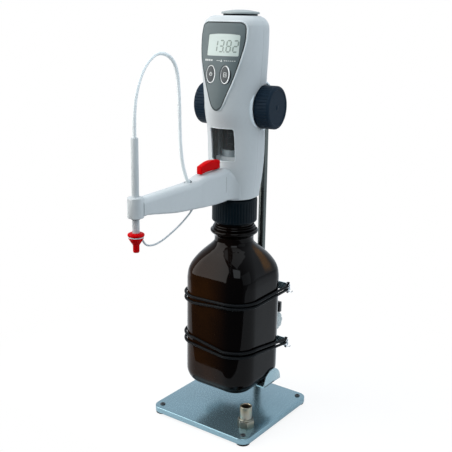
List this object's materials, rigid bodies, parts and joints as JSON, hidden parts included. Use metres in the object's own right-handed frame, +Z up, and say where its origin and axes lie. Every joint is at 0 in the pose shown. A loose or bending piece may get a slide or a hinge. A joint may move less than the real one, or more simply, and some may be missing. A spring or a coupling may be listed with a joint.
{
  "type": "digital burette",
  "caption": "Digital burette head with handwheels, display and angled discharge arm, screwed to a square amber bottle held on a rod stand.",
  "frame": {"origin": "on the table under the bottle's vertical axis, level with the underside of the rubber feet", "axes": "+Z up, +Y to the back where the stand rod is, +X to the right seen from the front where the discharge arm points"},
  "size_m": [0.146, 0.2795, 0.5011],
  "materials": {
    "coated_metal": "glossy light blue-grey coating",
    "steel_rod": "ground steel, slightly dark",
    "plated_post": "nickel-plated brass, polished",
    "screw_steel": "zinc-plated steel",
    "dark_screw": "blackened steel",
    "hook_chrome": "polished chrome",
    "clamp_black": "semi-gloss black",
    "knob_white": "light moulded plastic",
    "black_rubber": "matte black",
    "amber_glass": "very dark amber, glossy",
    "dark_plastic": "blue-black, fine grain",
    "head_plastic": "light cool grey, satin",
    "panel_plastic": "dark grey with a thin light rim",
    "lcd_glass": "pale green display",
    "button_plastic": "dark grey with silver ring",
    "cap_white": "near white",
    "red_plastic": "bright red",
    "clear_window": "clear, faintly tinted",
    "cylinder_glass": "dark clear glass",
    "ptfe": "translucent white fluoropolymer",
    "hose_ptfe": "translucent white ribbed tubing",
    "tether_nylon": "light grey flexible cord",
    "frame_metal": "matte plate",
    "bearing_brass": "turned",
    "board_green": "solder mask",
    "cell_wrap": "printed cell jacket"
  },
  "bodies": {
    "stand": {"base_plate": "coated_metal", "rubber_feet": "black_rubber", "foot_screws": "dark_screw", "stand_rod": "steel_rod", "rod_screw": "screw_steel", "stand_socket": "plated_post", "socket_nut": "plated_post"},
    "holder": {"rod_clamp": "clamp_black", "holder_back": "coated_metal", "holder_fork": "coated_metal", "bracket_screws": "screw_steel", "strap_hooks": "hook_chrome", "upper_strap": "black_rubber", "lower_strap": "black_rubber", "bottle": "amber_glass"},
    "clamp_knob_body": {"clamp_knob": "knob_white"},
    "collar": {"collar_nut": "dark_plastic"},
    "head": {"neck_adapter": "ptfe", "suction_tube": "ptfe", "valve_block": "ptfe", "cylinder_base": "frame_metal", "glass_cylinder": "cylinder_glass", "pump_frame": "frame_metal", "shaft_bearings": "bearing_brass", "head_floor": "head_plastic", "front_cover": "head_plastic", "rear_cover": "head_plastic", "housing_screws": "screw_steel", "window_pane": "clear_window", "control_panel": "panel_plastic", "display_lens": "lcd_glass", "lcd_module": "lcd_glass", "circuit_board": "board_green", "battery_holder": "button_plastic", "batteries": "cell_wrap", "discharge_arm": "head_plastic", "arm_duct": "ptfe", "arm_seals": "black_rubber", "tip_holder": "head_plastic", "titration_tube": "head_plastic", "discharge_hose": "hose_ptfe", "cap_tether": "tether_nylon", "cap_gasket": "black_rubber"},
    "drive": {"drive_shaft": "steel_rod", "pinion": "bearing_brass", "left_handwheel": "dark_plastic", "right_handwheel": "dark_plastic", "wheel_screws": "screw_steel", "encoder_disc": "button_plastic"},
    "piston_body": {"piston": "ptfe", "piston_seal": "black_rubber", "piston_rack": "frame_metal"},
    "lever": {"valve_lever": "red_plastic", "valve_spindle": "ptfe"},
    "power_button_body": {"power_button": "button_plastic"},
    "clear_button_body": {"clear_button": "button_plastic"},
    "top_cap_body": {"top_cap": "cap_white"},
    "tip_cap_body": {"tip_cap": "red_plastic"},
    "battery_door_body": {"battery_door": "head_plastic"}
  },
  "joints": [
    {"name": "holder_slide", "type": "slide", "parent": "stand", "child": "holder", "axis": [0, 0, 1], "range_m": [-0.005, 0.06]},
    {"name": "clamp_knob_turn", "type": "hinge", "parent": "holder", "child": "clamp_knob_body", "pos_m": [0, 0.062, 0.1076], "axis": [1, 0, 0], "range_deg": [0, 540]},
    {"name": "collar_turn", "type": "hinge", "parent": "holder", "child": "collar", "pos_m": [0, 0, 0.268], "axis": [0, 0, 1], "range_deg": [0, 720]},
    {"name": "head_swivel", "type": "hinge", "parent": "holder", "child": "head", "pos_m": [0, 0, 0.285], "axis": [0, 0, 1], "range_deg": [-125, 125]},
    {"name": "wheel_turn", "type": "hinge", "parent": "head", "child": "drive", "pos_m": [-0.00078, 0.00836, 0.3924], "axis": [-0.9957, -0.0924, 0], "range_deg": [0, 230]},
    {"name": "piston_slide", "type": "slide", "parent": "head", "child": "piston_body", "axis": [0, 0, 1], "range_m": [0, 0.0325]},
    {"name": "lever_turn", "type": "hinge", "parent": "head", "child": "lever", "pos_m": [0.00416, -0.04481, 0.3234], "axis": [0, 0, 1], "range_deg": [-90, 0]},
    {"name": "power_button_press", "type": "slide", "parent": "head", "child": "power_button_body", "axis": [-0.0919, 0.9903, -0.1045], "range_m": [0, 0.0008], "stiffness_N_per_m": 400},
    {"name": "clear_button_press", "type": "slide", "parent": "head", "child": "clear_button_body", "axis": [-0.0919, 0.9903, -0.1045], "range_m": [0, 0.0008], "stiffness_N_per_m": 400},
    {"name": "top_cap_lift", "type": "slide", "parent": "head", "child": "top_cap_body", "axis": [0, 0, 1], "range_m": [0, 0.02]},
    {"name": "tip_cap_pull", "type": "slide", "parent": "head", "child": "tip_cap_body", "axis": [0, 0, -1], "range_m": [0, 0.025], "deforming": ["cap_tether"]},
    {"name": "battery_door_pull", "type": "slide", "parent": "head", "child": "battery_door_body", "axis": [-0.0924, 0.9957, 0], "range_m": [0, 0.015]}
  ],
  "couplings": [
    {"joint": "piston_slide", "follows": "wheel_turn", "m_per_rad": 0.008}
  ]
}
